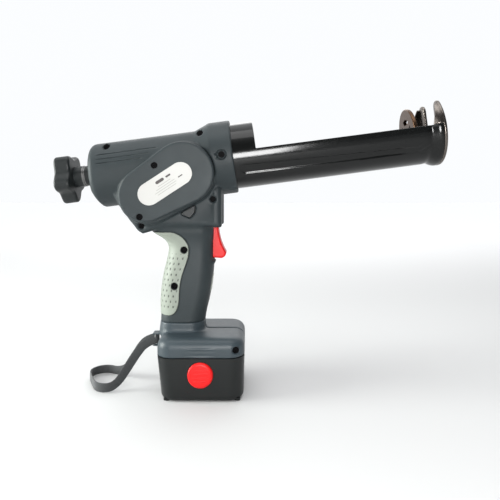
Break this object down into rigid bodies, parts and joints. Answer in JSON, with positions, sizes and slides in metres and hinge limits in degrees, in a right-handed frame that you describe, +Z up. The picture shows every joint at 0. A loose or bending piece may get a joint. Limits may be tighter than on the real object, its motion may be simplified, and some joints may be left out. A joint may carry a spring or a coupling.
{
  "type": "cordless caulking gun",
  "caption": "Pistol-grip cordless caulking gun on its battery, with an open trough carriage, a toothed push rod with a star knob, and a wrist strap.",
  "frame": {"origin": "centre of the battery's base, which it stands on", "axes": "+Z up, +X towards the nozzle (the barrel rises towards it by 7.5 degrees), -Y towards the side with the gear cover"},
  "size_m": [0.3587, 0.0794, 0.2686],
  "materials": {
    "housing": "moulded, slate grey, fine texture",
    "battery": "moulded, charcoal, fine texture",
    "soft_grip": "grey-green soft moulding, satin",
    "strip_light": "light grey soft moulding, satin",
    "red_plastic": "red moulded, satin",
    "label_white": "printed film, satin",
    "black_enamel": "black enamel, glossy",
    "knob_plastic": "moulded, dark grey-green",
    "steel": "machined, satin",
    "plated": "plated, bright",
    "spring_steel": "drawn wire",
    "brass": "turned",
    "cell_can": "sleeved cell can",
    "motor_can": "drawn can",
    "inner_plastic": "moulded, black",
    "wire": "insulated lead",
    "webbing": "woven tape, dark grey"
  },
  "bodies": {
    "battery": {"battery_case": "battery", "battery_lid": "battery", "battery_cells": "cell_can", "battery_contacts": "brass", "battery_screws": "steel", "button_spring_near": "spring_steel", "button_spring_far": "spring_steel"},
    "rod": {"push_rod": "steel", "pusher_disc": "plated", "pusher_nut": "steel", "knob": "knob_plastic", "knob_insert": "brass", "knob_washers": "steel"},
    "output": {"output_shaft": "steel", "output_gear": "steel", "rack_pinion": "steel", "shaft_clips": "spring_steel"},
    "drive": {"drive_pinion": "steel"},
    "trigger": {"trigger": "red_plastic"},
    "plunger": {"switch_plunger": "inner_plastic"},
    "lock": {"lock_button": "knob_plastic"},
    "release_button_near": {"release_button_near": "red_plastic"},
    "release_button_far": {"release_button_far": "red_plastic"},
    "gun": {"foot_near": "housing", "foot_far": "housing", "foot_screws": "steel", "strap_pin": "steel", "wrist_strap": "webbing", "housing_near": "housing", "housing_far": "housing", "housing_screws": "steel", "grip_insert_near": "soft_grip", "grip_insert_far": "soft_grip", "grip_strip": "strip_light", "gear_cover": "housing", "cover_screws": "steel", "rating_label": "label_white", "cartridge_carriage": "black_enamel", "front_plate": "plated", "collar_screws": "steel", "rod_bush_rear": "brass", "rod_bush_front": "brass", "shaft_bush_near": "brass", "shaft_bush_far": "brass", "gear_plate": "steel", "motor_screws": "steel", "planetary_gearbox": "motor_can", "motor": "motor_can", "trigger_pin": "steel", "trigger_spring": "spring_steel", "switch_body": "inner_plastic", "lock_spring": "spring_steel", "terminal_block": "inner_plastic", "terminal_clips": "brass", "motor_leads": "wire", "battery_leads": "wire"}
  },
  "joints": [
    {"name": "battery_release", "type": "slide", "parent": "battery", "child": "gun", "axis": [0, 0, 1], "range_m": [0, 0.07]},
    {"name": "rod_slide", "type": "slide", "parent": "gun", "child": "rod", "axis": [0.9914, 0, 0.1305], "range_m": [-0.185, 0]},
    {"name": "output_spin", "type": "hinge", "parent": "gun", "child": "output", "pos_m": [-0.01511, 0, 0.20002], "axis": [0, 1, 0], "range_deg": [-1640, 0]},
    {"name": "pinion_spin", "type": "hinge", "parent": "gun", "child": "drive", "pos_m": [-0.04259, 0, 0.18362], "axis": [0, 1, 0], "range_deg": [0, 2730]},
    {"name": "trigger_pull", "type": "hinge", "parent": "gun", "child": "trigger", "pos_m": [0.0063, 0, 0.1559], "axis": [0, 1, 0], "range_deg": [0, 12], "stiffness_Nm_per_rad": 0.25, "springref_deg": -11.46, "deforming": ["trigger_spring"]},
    {"name": "switch_press", "type": "slide", "parent": "gun", "child": "plunger", "axis": [-1, 0, 0], "range_m": [0, 0.003]},
    {"name": "lock_press", "type": "slide", "parent": "gun", "child": "lock", "axis": [0, 1, 0], "range_m": [0, 0.0025], "stiffness_N_per_m": 500, "springref_m": -0.003, "deforming": ["lock_spring"]},
    {"name": "release_near", "type": "slide", "parent": "battery", "child": "release_button_near", "axis": [0, 1, 0], "range_m": [0, 0.003], "stiffness_N_per_m": 1000, "springref_m": -0.003, "deforming": ["button_spring_near"]},
    {"name": "release_far", "type": "slide", "parent": "battery", "child": "release_button_far", "axis": [0, -1, 0], "range_m": [0, 0.003], "stiffness_N_per_m": 1000, "springref_m": -0.003, "deforming": ["button_spring_far"]}
  ],
  "couplings": [
    {"joint": "output_spin", "follows": "rod_slide", "rad_per_m": 153.85},
    {"joint": "pinion_spin", "follows": "rod_slide", "rad_per_m": -256.41},
    {"joint": "switch_press", "follows": "trigger_pull", "m_per_rad": 0.013}
  ]
}
